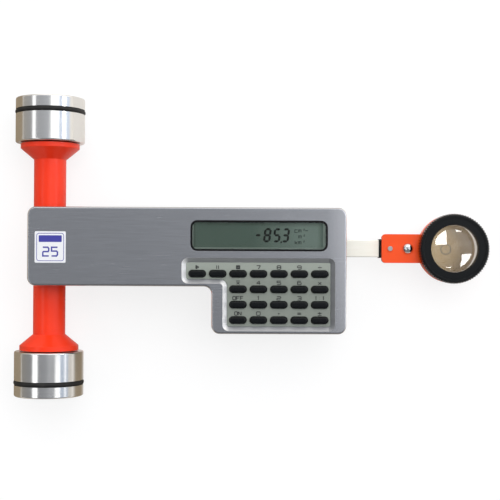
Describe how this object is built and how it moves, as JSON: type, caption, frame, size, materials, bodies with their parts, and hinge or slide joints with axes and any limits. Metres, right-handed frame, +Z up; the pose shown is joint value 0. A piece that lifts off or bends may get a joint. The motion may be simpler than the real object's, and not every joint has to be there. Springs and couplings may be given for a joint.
{
  "type": "digital roller planimeter",
  "caption": "Rolling measuring instrument: a roller carriage carries a swinging display and keypad housing with a tracer arm and magnifier lens",
  "frame": {"origin": "centre of the footprint, at the level of the paper that the instrument stands on", "axes": "+X along the tracer arm from the roller carriage to the lens, +Y along the roller axle to the back, +Z up from the paper"},
  "size_m": [0.2484, 0.1552, 0.039],
  "materials": {
    "orange_paint": "gloss",
    "roller_steel": "turned",
    "steel": "satin",
    "chrome": "polished",
    "tyre_rubber": "matte",
    "mat_rubber": "matte",
    "cover_metal": "brushed",
    "case_plastic": "fine texture",
    "panel_print": "satin",
    "key_plastic": "gloss",
    "black_plastic": "satin",
    "window_clear": "polished",
    "lcd_ground": "satin",
    "board_green": "satin",
    "battery_wrap": "satin",
    "bronze": "satin",
    "arm_ivory": "satin",
    "grip_black": "satin",
    "lens_clear": "polished",
    "barrel_metal": "satin",
    "foot_clear": "polished",
    "film_dark": "satin",
    "legend_dark": "print",
    "segment_dark": "print",
    "label_white": "paper"
  },
  "bodies": {
    "carriage": {"carriage_tube": "orange_paint", "axle_bushes": "bronze", "pivot_post": "steel", "pivot_nut": "steel"},
    "rollers": {"roller_axle": "steel", "roller_rear": "roller_steel", "roller_front": "roller_steel", "tyre_rear": "tyre_rubber", "tyre_front": "tyre_rubber", "roller_screws": "steel"},
    "housing": {"top_cover": "cover_metal", "lower_case": "case_plastic", "keypad_panel": "panel_print", "key_mat": "mat_rubber", "circuit_board": "board_green", "lcd_module": "lcd_ground", "lcd_bezel": "black_plastic", "lcd_window": "window_clear", "battery_pack": "battery_wrap", "charger_jack": "black_plastic", "case_screws": "steel", "pivot_bush": "bronze", "wheel_bracket": "steel", "wheel_bearings": "bronze", "light_sensor": "black_plastic", "tracer_arm": "arm_ivory", "arm_collar": "black_plastic", "lens_holder": "orange_paint", "dome_screw": "chrome", "small_screw": "steel", "lens_mount": "grip_black", "magnifier_lens": "lens_clear", "lens_barrel": "barrel_metal", "tracer_foot": "foot_clear"},
    "wheel": {"measuring_wheel": "steel", "wheel_shaft": "steel", "encoder_disc": "film_dark"},
    "grip": {"grip_ring": "grip_black"},
    "key_1_1_body": {"key_1_1": "key_plastic"},
    "key_1_2_body": {"key_1_2": "key_plastic"},
    "key_1_3_body": {"key_1_3": "key_plastic"},
    "key_1_4_body": {"key_1_4": "key_plastic"},
    "key_1_5_body": {"key_1_5": "key_plastic"},
    "key_1_6_body": {"key_1_6": "key_plastic"},
    "key_1_7_body": {"key_1_7": "key_plastic"},
    "key_2_3_body": {"key_2_3": "key_plastic"},
    "key_2_4_body": {"key_2_4": "key_plastic"},
    "key_2_5_body": {"key_2_5": "key_plastic"},
    "key_2_6_body": {"key_2_6": "key_plastic"},
    "key_2_7_body": {"key_2_7": "key_plastic"},
    "key_3_3_body": {"key_3_3": "key_plastic"},
    "key_3_4_body": {"key_3_4": "key_plastic"},
    "key_3_5_body": {"key_3_5": "key_plastic"},
    "key_3_6_body": {"key_3_6": "key_plastic"},
    "key_3_7_body": {"key_3_7": "key_plastic"},
    "key_4_3_body": {"key_4_3": "key_plastic"},
    "key_4_4_body": {"key_4_4": "key_plastic"},
    "key_4_5_body": {"key_4_5": "key_plastic"},
    "key_4_6_body": {"key_4_6": "key_plastic"},
    "key_4_7_body": {"key_4_7": "key_plastic"}
  },
  "joints": [
    {"name": "arm_swing", "type": "hinge", "parent": "carriage", "child": "housing", "pos_m": [-0.10597, 0, 0.0282], "axis": [0, 0, 1], "range_deg": [-46, 46]},
    {"name": "roller_spin", "type": "hinge", "parent": "carriage", "child": "rollers", "pos_m": [-0.10597, 0, 0.0182], "axis": [0, 1, 0], "continuous": true},
    {"name": "wheel_spin", "type": "hinge", "parent": "housing", "child": "wheel", "pos_m": [-0.04797, 0, 0.01], "axis": [1, 0, 0], "continuous": true},
    {"name": "grip_turn", "type": "hinge", "parent": "housing", "child": "grip", "pos_m": [0.10583, 0, 0.017], "axis": [0, 0, 1], "continuous": true},
    {"name": "key_1_1_press", "type": "slide", "parent": "housing", "child": "key_1_1_body", "axis": [0, 0, -1], "range_m": [0, 0.0006], "stiffness_N_per_m": 400},
    {"name": "key_1_2_press", "type": "slide", "parent": "housing", "child": "key_1_2_body", "axis": [0, 0, -1], "range_m": [0, 0.0006], "stiffness_N_per_m": 400},
    {"name": "key_1_3_press", "type": "slide", "parent": "housing", "child": "key_1_3_body", "axis": [0, 0, -1], "range_m": [0, 0.0006], "stiffness_N_per_m": 400},
    {"name": "key_1_4_press", "type": "slide", "parent": "housing", "child": "key_1_4_body", "axis": [0, 0, -1], "range_m": [0, 0.0006], "stiffness_N_per_m": 400},
    {"name": "key_1_5_press", "type": "slide", "parent": "housing", "child": "key_1_5_body", "axis": [0, 0, -1], "range_m": [0, 0.0006], "stiffness_N_per_m": 400},
    {"name": "key_1_6_press", "type": "slide", "parent": "housing", "child": "key_1_6_body", "axis": [0, 0, -1], "range_m": [0, 0.0006], "stiffness_N_per_m": 400},
    {"name": "key_1_7_press", "type": "slide", "parent": "housing", "child": "key_1_7_body", "axis": [0, 0, -1], "range_m": [0, 0.0006], "stiffness_N_per_m": 400},
    {"name": "key_2_3_press", "type": "slide", "parent": "housing", "child": "key_2_3_body", "axis": [0, 0, -1], "range_m": [0, 0.0006], "stiffness_N_per_m": 400},
    {"name": "key_2_4_press", "type": "slide", "parent": "housing", "child": "key_2_4_body", "axis": [0, 0, -1], "range_m": [0, 0.0006], "stiffness_N_per_m": 400},
    {"name": "key_2_5_press", "type": "slide", "parent": "housing", "child": "key_2_5_body", "axis": [0, 0, -1], "range_m": [0, 0.0006], "stiffness_N_per_m": 400},
    {"name": "key_2_6_press", "type": "slide", "parent": "housing", "child": "key_2_6_body", "axis": [0, 0, -1], "range_m": [0, 0.0006], "stiffness_N_per_m": 400},
    {"name": "key_2_7_press", "type": "slide", "parent": "housing", "child": "key_2_7_body", "axis": [0, 0, -1], "range_m": [0, 0.0006], "stiffness_N_per_m": 400},
    {"name": "key_3_3_press", "type": "slide", "parent": "housing", "child": "key_3_3_body", "axis": [0, 0, -1], "range_m": [0, 0.0006], "stiffness_N_per_m": 400},
    {"name": "key_3_4_press", "type": "slide", "parent": "housing", "child": "key_3_4_body", "axis": [0, 0, -1], "range_m": [0, 0.0006], "stiffness_N_per_m": 400},
    {"name": "key_3_5_press", "type": "slide", "parent": "housing", "child": "key_3_5_body", "axis": [0, 0, -1], "range_m": [0, 0.0006], "stiffness_N_per_m": 400},
    {"name": "key_3_6_press", "type": "slide", "parent": "housing", "child": "key_3_6_body", "axis": [0, 0, -1], "range_m": [0, 0.0006], "stiffness_N_per_m": 400},
    {"name": "key_3_7_press", "type": "slide", "parent": "housing", "child": "key_3_7_body", "axis": [0, 0, -1], "range_m": [0, 0.0006], "stiffness_N_per_m": 400},
    {"name": "key_4_3_press", "type": "slide", "parent": "housing", "child": "key_4_3_body", "axis": [0, 0, -1], "range_m": [0, 0.0006], "stiffness_N_per_m": 400},
    {"name": "key_4_4_press", "type": "slide", "parent": "housing", "child": "key_4_4_body", "axis": [0, 0, -1], "range_m": [0, 0.0006], "stiffness_N_per_m": 400},
    {"name": "key_4_5_press", "type": "slide", "parent": "housing", "child": "key_4_5_body", "axis": [0, 0, -1], "range_m": [0, 0.0006], "stiffness_N_per_m": 400},
    {"name": "key_4_6_press", "type": "slide", "parent": "housing", "child": "key_4_6_body", "axis": [0, 0, -1], "range_m": [0, 0.0006], "stiffness_N_per_m": 400},
    {"name": "key_4_7_press", "type": "slide", "parent": "housing", "child": "key_4_7_body", "axis": [0, 0, -1], "range_m": [0, 0.0006], "stiffness_N_per_m": 400}
  ]
}
